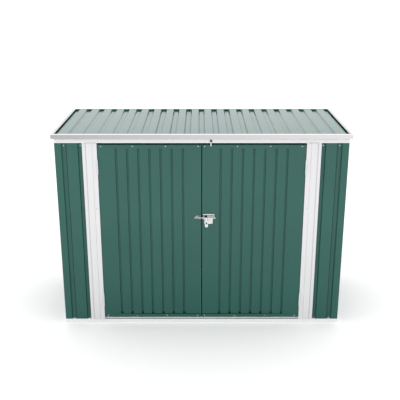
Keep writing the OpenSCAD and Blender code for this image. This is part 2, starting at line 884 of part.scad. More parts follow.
// Sliding bolt, drawn back, with its hanging handle
module bolt() {
    radius = handle_w / 2;
    loop_z = bolt_z - handle_drop + radius;
    color(zinc) on_front() {
        translate([bolt_tip_x, -bolt_depth, bolt_z]) rotate([0, 90, 0]) {
            cylinder(d = bolt_d, h = bolt_l, $fn = 48);
        }
        translate([handle_x - neck_w / 2, -handle_depth - handle_t, bolt_z - bolt_d / 2]) {
            cube([neck_w, handle_depth + handle_t - bolt_depth, bolt_d]);
        }
        translate([handle_x, -handle_depth, 0]) door_plate(handle_t) difference() {
            union() {
                translate([-neck_w / 2, loop_z]) square([neck_w, bolt_z + bolt_d / 2 - loop_z]);
                translate([0, loop_z - radius + handle_loop_h / 2]) slot_shape(handle_w, handle_loop_h);
            }
            translate([0, eye_z]) slot_shape(slot_w, slot_h);
        }
    }
}

// Door stop: strap on the right door's top rail that meets the header, with a round button
module door_stop() {
    face = -door_fold_t;
    z0 = door_top_z - stop_lap;
    button_z = header_z + stop_button_z;
    on_front() {
        color(zinc) translate([stop_x - stop_w / 2, face - latch_t, z0]) {
            cube([stop_w, latch_t, button_z - z0]);
        }
        color(zinc) translate([stop_x, face, button_z]) rotate([90, 0, 0]) {
            cylinder(d = stop_button_d, h = latch_t, $fn = 48);
        }
        color(dark) translate([stop_x, face - latch_t, button_z]) rotate([90, 0, 0]) {
            cylinder(d = stop_button_d, h = stop_button_t, $fn = 48);
        }
    }
}

base_rail_front();
base_rail_back();
base_rail_left();
base_rail_right();
corner_posts();
wall_mid_rails();
front_panel_left();
front_panel_right();
side_wall_left();
side_wall_right();
back_sheet_left();
back_sheet_right();
door_jamb_left();
door_jamb_right();
top_rail_front();
top_rail_back();
top_rail_left();
top_rail_right();
door_head_stop();
door_hinge_plates();
lid_hinge_plates();
lid_sheet();
lid_front_trim();
lid_back_trim();
lid_side_trim_left();
lid_side_trim_right();
lid_back_closure();
lid_braces();
lid_hinge_leaves();
door_left_sheet();
door_left_top_rail();
door_left_bottom_rail();
door_left_hinge_stile();
door_left_meeting_stile();
door_left_hinge_leaves();
door_right_sheet();
door_right_top_rail();
door_right_bottom_rail();
door_right_hinge_stile();
door_right_meeting_stile();
door_right_hinge_leaves();
bolt_keeper();
bolt_plate();
bolt();
door_stop();
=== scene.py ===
# %% [markdown]
# # A low steel bin store, dressed around its packed construction
# The solids (sheets, rails, doors, lid, hinges, latch) come from the frame. This lesson gives them their
# finishes, several with painted light and shade, and adds what is too small for the construction: screws, a
# rubber cap, and thin strips and dark pieces that are painted light and shade.

# %% Load the frame
import bpy
import bmesh
import json
import math
from mathutils import Matrix, Vector


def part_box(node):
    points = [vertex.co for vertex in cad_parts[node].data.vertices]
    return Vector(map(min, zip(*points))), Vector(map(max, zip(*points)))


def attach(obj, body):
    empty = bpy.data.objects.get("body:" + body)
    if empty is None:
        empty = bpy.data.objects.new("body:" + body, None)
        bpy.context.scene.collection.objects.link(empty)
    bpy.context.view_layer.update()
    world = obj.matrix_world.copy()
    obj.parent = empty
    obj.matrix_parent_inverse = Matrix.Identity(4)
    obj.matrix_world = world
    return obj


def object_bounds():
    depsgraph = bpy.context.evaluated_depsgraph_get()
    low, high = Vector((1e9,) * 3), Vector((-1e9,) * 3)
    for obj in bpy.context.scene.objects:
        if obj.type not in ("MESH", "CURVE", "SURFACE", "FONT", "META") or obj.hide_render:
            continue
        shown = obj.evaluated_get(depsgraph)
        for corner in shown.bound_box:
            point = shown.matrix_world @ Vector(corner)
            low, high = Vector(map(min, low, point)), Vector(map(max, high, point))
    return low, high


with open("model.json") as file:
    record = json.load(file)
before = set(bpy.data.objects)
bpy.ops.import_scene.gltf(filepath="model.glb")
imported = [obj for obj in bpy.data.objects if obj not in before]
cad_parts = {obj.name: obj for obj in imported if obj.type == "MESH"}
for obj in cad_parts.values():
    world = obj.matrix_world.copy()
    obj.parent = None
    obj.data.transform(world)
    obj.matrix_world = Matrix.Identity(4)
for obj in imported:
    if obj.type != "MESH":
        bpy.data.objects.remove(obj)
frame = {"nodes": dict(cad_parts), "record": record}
cad_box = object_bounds()
nodes = frame["nodes"]
low, high = Vector(cad_box[0]), Vector(cad_box[1])
half_length = high.x
print("nodes:", len(nodes), "box:", low[:], high[:])

# %% [markdown]
# ## Camera
# The store is seen from straight in front and a little above. Its verticals lean in towards the ground, so
# the camera looks down on it. A lens of moderate length about four metres away gives the same lean and the
# same foreshortened lid. One could also tilt less and shift the lens, but then the verticals would stay
# parallel.

# %% Camera
camera_height = 2.239
camera_distance = 4.477
camera_side = -0.0108
pitch_down = math.radians(18.6)
lens_mm = 61.74
sensor_mm = 36

camera_data = bpy.data.cameras.new("camera")
camera_data.sensor_width = sensor_mm
camera_data.lens = lens_mm
camera = bpy.data.objects.new("camera", camera_data)
camera.location = (camera_side, -camera_distance, camera_height)
camera.rotation_euler = (math.radians(90) - pitch_down, 0, 0)
bpy.context.scene.collection.objects.link(camera)
bpy.context.scene.camera = camera
print("lens:", round(camera_data.lens, 1), "mm")

# %% [markdown]
# ## Node helpers
# Every finish is built from a few shader nodes. They could be placed one by one in the shader editor. Small
# helpers that add a node, set its values and wire its inputs keep each recipe short enough to read as a
# list, and two like recipes stay alike.

# %% Helpers for nodes
def new_material(name):
    """A material, its main shader and its links."""
    material = bpy.data.materials.new(name)
    material.use_nodes = True
    return material, material.node_tree.nodes["Principled BSDF"], material.node_tree.links


def add_node(material, kind, values=None, wires=None):
    """A node with values set on its inputs or settings, and its inputs wired to other nodes' outputs."""
    node = material.node_tree.nodes.new(kind)
    for key, value in (values or {}).items():
        if isinstance(key, int) or key in node.inputs.keys():
            node.inputs[key].default_value = value
        else:
            setattr(node, key, value)
    for key, output in (wires or {}).items():
        material.node_tree.links.new(output, node.inputs[key])
    return node


def object_place(material):
    return add_node(material, "ShaderNodeTexCoord").outputs["Object"]


def axes(material, source_name):
    """X, Y and Z of a point for "Object", or of the way that its surface faces for "Normal"."""
    source = add_node(material, "ShaderNodeTexCoord")
    split = add_node(material, "ShaderNodeSeparateXYZ", None, {"Vector": source.outputs[source_name]})
    return split.outputs


def map_range(material, value, start, end, first=0.0, last=1.0):
    """Takes start to end over to first to last, and stops there."""
    values = {"From Min": start, "From Max": end, "To Min": first, "To Max": last}
    return add_node(material, "ShaderNodeMapRange", values, {"Value": value}).outputs["Result"]


def noise(material, place, scale, detail):
    return add_node(material, "ShaderNodeTexNoise", {"Scale": scale, "Detail": detail}, {"Vector": place})


def bump(material, height, strength, distance, below=None):
    """Relief from a height, on top of the relief below it if there is one."""
    wires = {"Height": height}
    if below is not None:
        wires["Normal"] = below
    values = {"Strength": strength, "Distance": distance}
    return add_node(material, "ShaderNodeBump", values, wires).outputs["Normal"]


print("node helpers:", [helper.__name__ for helper in (add_node, axes, map_range, noise, bump)])

# %% Helpers for colours
def grey(tone):
    return (tone, tone, tone)


def shade(colour, factor):
    return tuple(channel * factor for channel in colour)


def ramp(material, factor, stops):
    node = add_node(material, "ShaderNodeValToRGB", None, {"Fac": factor})
    points = node.color_ramp.elements
    while len(points) < len(stops):
        points.new(0.5)
    for point, (position, colour) in zip(points, stops):
        point.position = position
        point.color = (*colour, 1)
    return node.outputs["Color"]


def tinted(material, colour_output, tint_output):
    """One colour multiplied by another."""
    wires = {0: colour_output, 1: tint_output}
    return add_node(material, "ShaderNodeVectorMath", {"operation": "MULTIPLY"}, wires).outputs["Vector"]


def mixed_with(material, colour_output, other_colour, share):
    """A colour that turns into another one as the share goes from 0 to 1."""
    mix = add_node(material, "ShaderNodeMix", {"data_type": "RGBA"}, {"Factor": share})
    material.node_tree.links.new(colour_output, mix.inputs[6])
    mix.inputs[7].default_value = (*other_colour, 1)
    return mix.outputs[2]


print("colour helpers:", [helper.__name__ for helper in (grey, shade, ramp, tinted, mixed_with)])

# %% [markdown]
# ## Coil-coated steel
# The sheets are thin steel, painted before they were rolled to shape. Up close the paint has a fine
# orange-peel skin, the sheet is never quite flat, and the colour drifts a little over a metre. Three noises
# do that: a slow one for colour, a fine one and a slow one for bump. Towards the ground the colour is
# multiplied by a tint that follows the height and darkens it, a little more in the red: painted shade.
# Painted images could do the same, but a noise has no seam and no size of its own. The walls and doors are
# satin green.

# %% Coil-coated steel and the green of the walls
def painted_height_shade(material, colour_output, low_shade, shade_heights):
    """Painted shade: multiplies a colour by a low tone at the lower of two heights, fading to none at the
    upper one.
    """
    height = map_range(material, axes(material, "Object")["Z"], *shade_heights)
    return tinted(material, colour_output, ramp(material, height, [(0, low_shade), (1, grey(1))]))


def coated_steel(
    name, colour, roughness, drift=0.05, peel=0.12, wave=0.5, specular=0.5, low_shade=grey(0.9),
    shade_heights=(0, 0.75),
):
    """Painted steel: drift varies its colour, peel is the skin of the paint, wave its want of flatness, and a
    low tone between two heights paints shade.
    """
    material, skin, links = new_material(name)
    skin.inputs["Specular IOR Level"].default_value = specular
    place = object_place(material)
    slow = noise(material, place, scale=2.3, detail=3.0).outputs["Fac"]
    tone = ramp(material, slow, [(0.3, shade(colour, 1 - drift)), (0.7, shade(colour, 1 + drift))])
    links.new(painted_height_shade(material, tone, low_shade, shade_heights), skin.inputs["Base Color"])

    worn = noise(material, place, scale=9.0, detail=4.0).outputs["Fac"]
    gloss = map_range(material, worn, 0.35, 0.65, roughness * 0.9, roughness * 1.1)
    links.new(gloss, skin.inputs["Roughness"])

    fine = noise(material, place, scale=700.0, detail=1.0).outputs["Fac"]
    flatness = noise(material, place, scale=3.5, detail=1.0).outputs["Fac"]
    sheet_relief = bump(material, flatness, strength=wave, distance=0.002)
    paint_relief = bump(material, fine, strength=peel, distance=0.0002, below=sheet_relief)
    links.new(paint_relief, skin.inputs["Normal"])
    return material


green_colour = (0.0150, 0.0893, 0.0706)
# The low tone is painted shade towards the ground, stronger in the red.
green_steel = {"roughness": 0.38, "specular": 0.42, "low_shade": (0.32, 0.79, 0.775)}
green_paint = coated_steel("green_coated_steel", green_colour, **green_steel)
print("walls and doors:", green_paint.name)

# %% [markdown]
# ## Shade in the grooves
# The grooves of the front panels hold shade on the flank that faces away from the middle. More lamps could
# make the difference, and would change everything else with it. A tone that follows which way the surface
# faces is steadier, so these panels have the same green with one more step.

# %% Shaded flanks and the green of the front panels
flank_start, flank_full = 0.3, 0.8


def repaint(material, change):
    """Puts one more step between the colour of a material so far and its main shader."""
    colour_input = material.node_tree.nodes["Principled BSDF"].inputs["Base Color"]
    material.node_tree.links.new(change(colour_input.links[0].from_socket), colour_input)


def scaled(material, colour_output, tone):
    wires = {"Vector": colour_output, "Scale": tone}
    return add_node(material, "ShaderNodeVectorMath", {"operation": "SCALE"}, wires).outputs["Vector"]


def calculate(material, operation, first, second=None):
    """One step of arithmetic; the second value may be an output, a plain number or absent."""
    wires = {0: first}
    values = {"operation": operation}
    if isinstance(second, float):
        values[1] = second
    elif second is not None:
        wires[1] = second
    return add_node(material, "ShaderNodeMath", values, wires).outputs[0]


def outwardness(material):
    """1 where a surface faces away from the middle of the store, and -1 where it faces the middle."""
    side = calculate(material, "SIGN", axes(material, "Object")["X"])
    return calculate(material, "MULTIPLY", side, axes(material, "Normal")["X"])


def darken_flanks(material, low_tone, beyond=0.0):
    """Painted shade: darkens what faces away from the middle of the store, from a distance on."""
    reach = calculate(material, "ABSOLUTE", axes(material, "Object")["X"])
    past = calculate(material, "GREATER_THAN", reach, beyond)
    outward = calculate(material, "MULTIPLY", outwardness(material), past)
    tone = map_range(material, outward, flank_start, flank_full, 1.0, low_tone)
    repaint(material, lambda painted: scaled(material, painted, tone))


panel_paint = coated_steel("green_coated_panel_steel", green_colour, **green_steel)
darken_flanks(panel_paint, low_tone=0.2)
print("front panels:", panel_paint.name)

# %% [markdown]
# ## Roof paint
# The lid's paint is glossier. The flanks of its ribs that face the middle are painted lighter than the rest,
# by a share that changes along the lid: a painted reflection. The valley beside each side trim is painted
# dark: painted shade. Both are done as in the panels, by tones that follow the place and the way that the
# surface faces. Deeper ribs would show as well, but the form of the sheet belongs to the construction.

# %% Roof paint
def lighten_flanks(material, light_colour, shares):
    """Painted reflection: lightens what faces the middle of the store, by shares that follow its length from
    left to right.
    """
    inward = map_range(material, outwardness(material), -flank_start, -flank_full)
    along = map_range(material, axes(material, "Object")["X"], -half_length, half_length)
    stops = [(position, grey(share)) for position, share in shares]
    share = calculate(material, "MULTIPLY", inward, ramp(material, along, stops))
    repaint(material, lambda painted: mixed_with(material, painted, light_colour, share))


def darken_ends(material, width, low_tone, hard_share=0.8):
    """Painted shade: darkens a strip along each end of the lid, which is fully dark over hard_share of its
    width.
    """
    reach = calculate(material, "ABSOLUTE", axes(material, "Object")["X"])
    tone = map_range(material, reach, half_length - width, half_length - hard_share * width, 1.0, low_tone)
    repaint(material, lambda painted: scaled(material, painted, tone))


# The lighter flank colour is a painted reflection.
roof_colour, roof_flank_reflection_colour = (0.0150, 0.0893, 0.079), (0.070, 0.145, 0.135)
roof_paint = coated_steel(
    "green_coated_roof_steel", roof_colour, roughness=0.17, peel=0.03, wave=0.1, specular=0.355
)
flank_reflection_shares = [
    (0.030, 0.0), (0.035, 0.5), (0.20, 1.0), (0.27, 1.0), (0.32, 0.2), (0.49, 0.2), (0.53, 1.0), (0.80, 1.0),
    (0.965, 0.45), (0.970, 0.0),
]
# Painted reflection on the flanks that face the middle, painted shade in the valley at each end.
lighten_flanks(roof_paint, roof_flank_reflection_colour, flank_reflection_shares)
darken_ends(roof_paint, width=0.022, low_tone=0.25)
print("lid:", roof_paint.name)

# %% [markdown]
# ## White paints
# The folded trims are white, in lighter and darker copies of one white paint that carry painted light and
# shade. The outer fold of each jamb is painted darker (painted shade), the rails, the header and the sill
# are painted lighter (painted light), and the lid's side trims are painted darker (painted shade) and don't
# shine. The header is a touch darker along its lower edge, and the sill is darker again at its foot, both
# painted shade: where the two heights of a tint lie close together, it ends as sharply as a fold. The plain
# white and the jambs are also darker towards the ground, painted shade.

# %% White paints
white_colour = (0.64, 0.64, 0.65)
white_steel = {"roughness": 0.42, "drift": 0.015, "wave": 0.3}
white_paint = coated_steel("white_coated_steel", white_colour, **white_steel)
jamb_paint = coated_steel("white_coated_jamb_steel", white_colour, **white_steel)
jamb_fold_x = 0.69
# Painted shade on the outer fold of each jamb.
darken_flanks(jamb_paint, low_tone=0.7, beyond=jamb_fold_x)
# The rails' white is painted lighter: painted light.
rail_paint = coated_steel("white_coated_rail_steel", (0.71, 0.71, 0.715), low_shade=grey(1), **white_steel)
# The header's white is painted lighter, a touch less along its lower edge: painted light and shade.
header_paint = coated_steel(
    "white_coated_header_steel", (0.77, 0.77, 0.775), low_shade=grey(0.95), shade_heights=(1.234, 1.250),
    **white_steel,
)
# The sill's lip is painted light, its foot painted shade.
sill_paint = coated_steel(
    "white_coated_sill_steel", (0.95, 0.95, 0.955), low_shade=grey(0.72), shade_heights=(0.027, 0.028),
    **white_steel,
)
# The side trims' white is painted darker: painted shade.
side_trim_paint = coated_steel(
    "white_coated_side_trim_steel", (0.56, 0.56, 0.565), specular=0.0, **white_steel
)
print("trims:", white_paint.name, jamb_paint.name, rail_paint.name)
print("other trims:", header_paint.name, sill_paint.name, side_trim_paint.name)

# %% [markdown]
# ## Fascia with painted shade
# The front face of the lid's trim is painted grey, greyer towards its left end: painted shade, and a ramp
# along the length gives its colour. The top flange keeps the plain white: the two colours are mixed by how
# far the surface faces up. Two materials on one piece would do as well, but need its faces sorted.

# %% Fascia finish
def shaded_fascia_steel(name, left_colour, right_colour, lip_colour, roughness):
    material, skin, links = new_material(name)
    skin.inputs["Roughness"].default_value = roughness
    along = map_range(material, axes(material, "Object")["X"], -half_length, half_length)
    # Painted shade on the front face, greyer towards the left end.
    fascia_shade_ramp = ramp(material, along, [(0, left_colour), (1, right_colour)])
    upward = axes(material, "Normal")["Z"]
    links.new(mixed_with(material, fascia_shade_ramp, lip_colour, upward), skin.inputs["Base Color"])
    return material


fascia_paint = shaded_fascia_steel(
    "fascia_painted_shade_steel", (0.360, 0.344, 0.350), (0.594, 0.576, 0.583), grey(0.64), roughness=0.45
)
print("trim:", fascia_paint.name)

# %% [markdown]
# ## Galvanised steel
# The posts and rails inside are galvanised: zinc crystals of a few millimetres, each with its own grey and
# its own gloss. A cell pattern gives the crystals, and a noise bends their edges a little, because straight
# edges look cut.

# %% Galvanised steel
def galvanised_steel(name, crystal_mm=9.0, bend_share=0.03):
    material, skin, links = new_material(name)
    skin.inputs["Metallic"].default_value = 1.0
    place = object_place(material)
    bent = add_node(material, "ShaderNodeMix", {"data_type": "VECTOR"})
    bent.inputs["Factor"].default_value = bend_share
    links.new(place, bent.inputs[4])
    links.new(noise(material, place, scale=60.0, detail=2.0).outputs["Color"], bent.inputs[5])
    crystals = add_node(
        material, "ShaderNodeTexVoronoi", {"Scale": 1000.0 / crystal_mm}, {"Vector": bent.outputs[1]}
    )
    cells = crystals.outputs["Color"]
    tone = ramp(material, cells, [(0.1, (0.42, 0.43, 0.45)), (0.9, (0.62, 0.63, 0.64))])
    links.new(tone, skin.inputs["Base Color"])
    links.new(map_range(material, cells, 0, 1, 0.34, 0.52), skin.inputs["Roughness"])
    return material


galvanised = galvanised_steel("galvanised_steel")
print("posts and rails:", galvanised.name)

# %% [markdown]
# ## Zinc plate
# The latch and the screws are plated with bright zinc, much smoother than galvanised steel. A soft noise
# clouds the colour and the gloss, and a fine one gives the grain of parts that were tumbled in a drum. An
# even metal would do for the screws, but looks like a mirror on the flat latch.

# %% Zinc plate
def zinc_plate(name, colour, roughness=0.24):
    material, skin, links = new_material(name)
    skin.inputs["Metallic"].default_value = 1.0
    place = object_place(material)
    cloudy = noise(material, place, scale=45.0, detail=3.0).outputs["Fac"]
    tone = ramp(material, cloudy, [(0.35, shade(colour, 0.88)), (0.65, colour)])
    links.new(tone, skin.inputs["Base Color"])
    gloss = map_range(material, cloudy, 0, 1, roughness - 0.06, roughness + 0.1)
    links.new(gloss, skin.inputs["Roughness"])
    tumbled = noise(material, place, scale=900.0, detail=2.0).outputs["Fac"]
    links.new(bump(material, tumbled, strength=0.15, distance=0.0002), skin.inputs["Normal"])
    return material


zinc_colour = (0.72, 0.72, 0.73)
zinc = zinc_plate("bright_zinc_plate", zinc_colour)
dull_zinc = zinc_plate("dull_zinc_plate", (0.36, 0.36, 0.37), roughness=0.34)
screw_zinc = zinc_plate("screw_zinc_plate", (0.72, 0.78, 0.78), roughness=0.30)
print("zinc:", zinc.name, dull_zinc.name, screw_zinc.name)

# %% [markdown]
# ## Shaded zinc of the latch
# The shelf over the bolt keeps the light off what lies under it, so its plate is dark in the hollow behind
# the bolt and greyer in bands below the shelf. On so small a latch the light alone leaves this too soft, so
# the tone follows the height in bands, and a test of place finds the hollow.

# %% Shaded zinc of the latch
def shade_bands(material, bands):
    """Multiplies the colour by a tone that follows (height, tone) bands, from the lowest to the highest."""
    bottom, top = bands[0][0], bands[-1][0]
    height = map_range(material, axes(material, "Object")["Z"], bottom, top)
    stops = [((z - bottom) / (top - bottom), grey(tone)) for z, tone in bands]
    repaint(material, lambda plated: tinted(material, plated, ramp(material, height, stops)))


def darken_hollow(material, behind_y, above_z, below_z, tone=0.008):
    """Painted shade: paints what lies behind a depth and between two heights nearly black."""
    place = axes(material, "Object")
    inside = calculate(material, "GREATER_THAN", place["Y"], behind_y)
    above = calculate(material, "GREATER_THAN", place["Z"], above_z)
    below = calculate(material, "LESS_THAN", place["Z"], below_z)
    inside = calculate(material, "MULTIPLY", calculate(material, "MULTIPLY", inside, above), below)
    repaint(material, lambda plated: mixed_with(material, plated, grey(tone), inside))


door_face_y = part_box("front_panel_left")[0][1]
shelf_top_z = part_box("bolt_plate")[1][2]
# Painted shade in bands below the shelf's top, and a painted highlight on the top itself, where the lighter
# zinc keeps its full tone.
shelf_drops = (
    (0.0300, 0.80), (0.0270, 0.52), (0.0098, 0.52), (0.0088, 0.12), (0.0015, 0.12), (0.0012, 1.0),
)
latch_zinc = zinc_plate("shelf_zinc_plate", (0.90, 0.90, 0.91))
shade_bands(latch_zinc, [(shelf_top_z - drop, tone) for drop, tone in shelf_drops])
darken_hollow(
    latch_zinc, behind_y=door_face_y - 0.005, above_z=shelf_top_z - 0.0163, below_z=shelf_top_z - 0.0012
)
bolt_top_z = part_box("bolt")[1][2]
# Painted shade along the top of the bolt, under the shelf.
bolt_drops = ((0.0090, 1.0), (0.0024, 1.0), (0.0016, 0.5), (0.0, 0.5))
bolt_zinc = zinc_plate("bolt_zinc_plate", zinc_colour)
shade_bands(bolt_zinc, [(bolt_top_z - drop, tone) for drop, tone in bolt_drops])
print("latch:", latch_zinc.name, bolt_zinc.name)

# %% [markdown]
# ## Black rubber and painted shade
# The cap of the door stop is black rubber, which is matt and hardly reflects. The same black makes the dark
# strip on the sill, the dark lines on the doors and the dark pieces in the latch, which are painted shade.
# So its specular level is low: with a usual one the bright surround would turn it grey.

# %% Black rubber and painted shade
def dark_rubber(name, roughness, specular):
    material, skin, links = new_material(name)
    grain = noise(material, object_place(material), scale=600.0, detail=3.0).outputs["Fac"]
    tone = ramp(material, grain, [(0.3, (0.006, 0.006, 0.0065)), (0.7, (0.012, 0.012, 0.013))])
    links.new(tone, skin.inputs["Base Color"])
    skin.inputs["Roughness"].default_value = roughness
    skin.inputs["Specular IOR Level"].default_value = specular
    links.new(bump(material, grain, strength=0.3, distance=0.0003), skin.inputs["Normal"])
    return material


rubber_and_shade_black = dark_rubber("dark_rubber", roughness=0.6, specular=0.12)
print("rubber:", rubber_and_shade_black.name)

# %% [markdown]
# ## Finishes of the construction
# Each node already says which material slot it belongs to, so one table from slot to finish paints them all.
# The few nodes with a finish of their own are named after that. One could also click through the 45 nodes,
# but a table can be read and checked.

# %% Paint the nodes
finishes = {
    "green_wall": green_paint,
    "green_roof": roof_paint,
    "white_trim": white_paint,
    "galvanised": galvanised,
    "zinc_latch": zinc,
}
slot_of = {part["node"]: part["material_slot"] for part in frame["record"]["subparts"]}
finish_of = {name: finishes[slot_of[name]] for name in nodes}
# Several of these finishes are lighter or darker copies of one paint or plate: painted light and shade.
finish_of.update({name: rail_paint for name in nodes if name.startswith("base_rail")})
finish_of.update({name: header_paint for name in nodes if name.startswith("top_rail")})
finish_of.update({
    "front_panel_left": panel_paint,
    "front_panel_right": panel_paint,
    "door_jamb_left": jamb_paint,
    "door_jamb_right": jamb_paint,
    "base_rail_front": sill_paint,
    "lid_front_trim": fascia_paint,
    "lid_side_trim_left": side_trim_paint,
    "lid_side_trim_right": side_trim_paint,
    "bolt_keeper": dull_zinc,
    "door_stop": screw_zinc,
    "bolt_plate": latch_zinc,
    "bolt": bolt_zinc,
})
for name, material in finish_of.items():
    for material_slot in nodes[name].material_slots:
        material_slot.material = material
print("painted:", {slot: list(slot_of.values()).count(slot) for slot in finishes})

# %% [markdown]
# ## Screws
# The sheets are held by self-drilling screws with a washer: a disc, a low domed head and a recess in it. One
# is turned on a lathe, so a few rings of a cylinder, moved in and out, give its outline. It could be a bump
# only, but the head's shadow is what one sees. One is modelled at the origin, pointing up, and copied to each
# place with a mesh of its own.

# %% One screw
def select_only(piece):
    bpy.ops.object.select_all(action="DESELECT")
    piece.select_set(True)
    bpy.context.view_layer.objects.active = piece


def select_parts(piece, kind, chosen):
    """Goes into edit mode and selects those faces or edges that pass a test."""
    bpy.ops.object.mode_set(mode="EDIT")
    bpy.ops.mesh.select_mode(type=kind)
    bpy.ops.mesh.select_all(action="DESELECT")
    mesh = bmesh.from_edit_mesh(piece.data)
    for part in (mesh.faces if kind == "FACE" else mesh.edges):
        part.select = chosen(part)
    bmesh.update_edit_mesh(piece.data)


def model_screw(name, washer_mm, head_mm, head_height_mm, material):
    """A washer with a head on it, whose upright wall, sloping shoulder and crown lie round a recess."""
    washer_height, head_height = 0.0009, head_height_mm / 1000
    washer_radius, head_radius = washer_mm / 2000, head_mm / 2000
    wall, shoulder, crown, recess = (head_height * share for share in (0.6, 0.3, 0.1, 0.4))
    shoulder_taper, crown_width, recess_slope = 0.8, head_radius * 0.35, head_radius * 0.12
    bpy.ops.object.select_all(action="DESELECT")
    bpy.ops.mesh.primitive_cylinder_add(
        vertices=20, radius=washer_radius, depth=washer_height, location=(0, 0, washer_height / 2)
    )
    screw = bpy.context.object
    screw.name = name
    bpy.ops.object.transform_apply(location=True, rotation=True, scale=True)
    select_parts(screw, "FACE", lambda face: face.normal.z > 0.9)
    bpy.ops.mesh.inset(thickness=washer_radius - head_radius)
    bpy.ops.mesh.extrude_region_move(TRANSFORM_OT_translate={"value": (0, 0, wall)})
    bpy.ops.mesh.extrude_region_move(TRANSFORM_OT_translate={"value": (0, 0, shoulder)})
    bpy.ops.transform.resize(value=(shoulder_taper, shoulder_taper, 1))
    bpy.ops.mesh.inset(thickness=crown_width)
    bpy.ops.transform.translate(value=(0, 0, crown))
    bpy.ops.mesh.inset(thickness=recess_slope)
    bpy.ops.transform.translate(value=(0, 0, -recess))
    bpy.ops.object.mode_set(mode="OBJECT")
    select_only(screw)
    bpy.ops.object.shade_smooth_by_angle(angle=math.radians(35))
    screw.data.materials.append(material)
    print(name, "faces:", len(screw.data.polygons))
    return screw


sheet_screw = model_screw("sheet_screw", 6.4, 4.8, 2.0, screw_zinc)
low_screw = model_screw("low_screw", 5.6, 4.2, 1.8, screw_zinc)

# %% [markdown]
# ## Where the sheets are fixed
# Screws go where a sheet lies against a rail: in the grooves of the panels and walls at top and bottom, and
# along the rails of the doors. They could be placed by eye, but the places are worked out from the boxes of
# the nodes they hold, so that they stay in the grooves. Each copy is turned further than the last, because a
# hand never leaves all screws alike.

# %% Screws of the front panels
to_front, to_back, to_left, to_right = (0, -1, 0), (0, 1, 0), (-1, 0, 0), (1, 0, 0)
spin_degrees = 37


def drive_screws(name, model, places, outward, body):
    """Copies the model to each place, its axis along outward, and joins the copies."""
    turn = Vector(outward).to_track_quat("Z", "Y").to_matrix().to_4x4()
    copies = []
    for number, place in enumerate(places):
        spin = Matrix.Rotation(math.radians(spin_degrees * number), 4, "Z")
        mesh = model.data.copy()
        mesh.transform(Matrix.Translation(place) @ turn @ spin)
        copy = bpy.data.objects.new(name, mesh)
        bpy.context.scene.collection.objects.link(copy)
        copies.append(copy)
    select_only(copies[0])
    for copy in copies:
        copy.select_set(True)
    if len(copies) > 1:
        bpy.ops.object.join()
    piece = bpy.context.view_layer.objects.active
    piece.name = name
    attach(piece, body)
    print(name, len(places))


panel_low, panel_high = (Vector(corner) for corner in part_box("front_panel_left"))
corner_flat, wall_pitch, groove_width, groove_depth = 0.0415, 0.101, 0.033, 0.011
groove_y = panel_low.y + groove_depth
groove_centres = [panel_low.x + corner_flat + groove_width / 2 + k * wall_pitch for k in range(2)]
screw_heights = (panel_low.z + 0.005, panel_high.z - 0.018)
panel_places = [(side * x, groove_y, z) for side in (1, -1) for x in groove_centres for z in screw_heights]
drive_screws("panel_screws", sheet_screw, panel_places, to_front, "store")

# %% Screws of the side and back walls
side_x = abs(panel_low.x) - groove_depth
side_y = [k * wall_pitch for k in range(-3, 4)]
back_x = [abs(groove_centres[0]) - k * wall_pitch for k in range(9)]
back_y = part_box("back_sheet_left")[1][1] - groove_depth
left_places = [(-side_x, y, z) for y in side_y for z in screw_heights]
right_places = [(side_x, y, z) for y in side_y for z in screw_heights]
back_places = [(side * x, back_y, z) for side in (-1, 1) for x in back_x for z in screw_heights]
drive_screws("left_wall_screws", sheet_screw, left_places, to_left, "store")
drive_screws("right_wall_screws", sheet_screw, right_places, to_right, "store")
drive_screws("back_wall_screws", sheet_screw, back_places, to_back, "store")

# %% Screws of the doors
top_shares = {"left": (0.033, 0.338, 0.656, 0.970), "right": (0.024, 0.338, 0.656, 0.961)}
low_shares = {"left": (0.033, 0.336, 0.645, 0.965), "right": (0.024, 0.338, 0.656, 0.961)}
top_margin, low_margin = 0.009, 0.013
for hand, body in (("left", "door_left"), ("right", "door_right")):
    top_low, top_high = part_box(f"door_{hand}_top_rail")
    bottom_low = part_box(f"door_{hand}_bottom_rail")[0]
    edge, width = top_low[0], top_high[0] - top_low[0]
    top_z, low_z = top_high[2] - top_margin, bottom_low[2] + low_margin
    top_places = [(edge + width * share, top_low[1], top_z) for share in top_shares[hand]]
    low_places = [(edge + width * share, bottom_low[1], low_z) for share in low_shares[hand]]
    drive_screws(f"door_{hand}_screws", sheet_screw, top_places, to_front, body)
    drive_screws(f"door_{hand}_low_screws", low_screw, low_places, to_front, body)
for model in (sheet_screw, low_screw):
    bpy.data.objects.remove(model)

# %% [markdown]
# ## Screws of the fittings
# The hinge plates, the latch and the middle of each jamb have smaller screws. Those of the hinges are painted
# with them, those of the latch and the jambs are dull. They are the same turned form at other sizes, so the
# same function makes them, and a new form for each would only cost time.

# %% Screws of the hinges
hinge_screw = model_screw("hinge_screw", 6, 4.4, 1.2, white_paint)
plates_low, plates_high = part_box("door_hinge_plates")
half_hinge, hinge_pitch, plate_margin, plate_face = 0.046, 0.033, 0.0105, 0.0052
hinge_places = [
    (side * (plates_high[0] - plate_margin), door_face_y - plate_face, z_middle + rise)
    for side in (-1, 1)
    for z_middle in (plates_low[2] + half_hinge, plates_high[2] - half_hinge)
    for rise in (-hinge_pitch, 0, hinge_pitch)
]
drive_screws("hinge_screws", hinge_screw, hinge_places, to_front, "store")
bpy.data.objects.remove(hinge_screw)

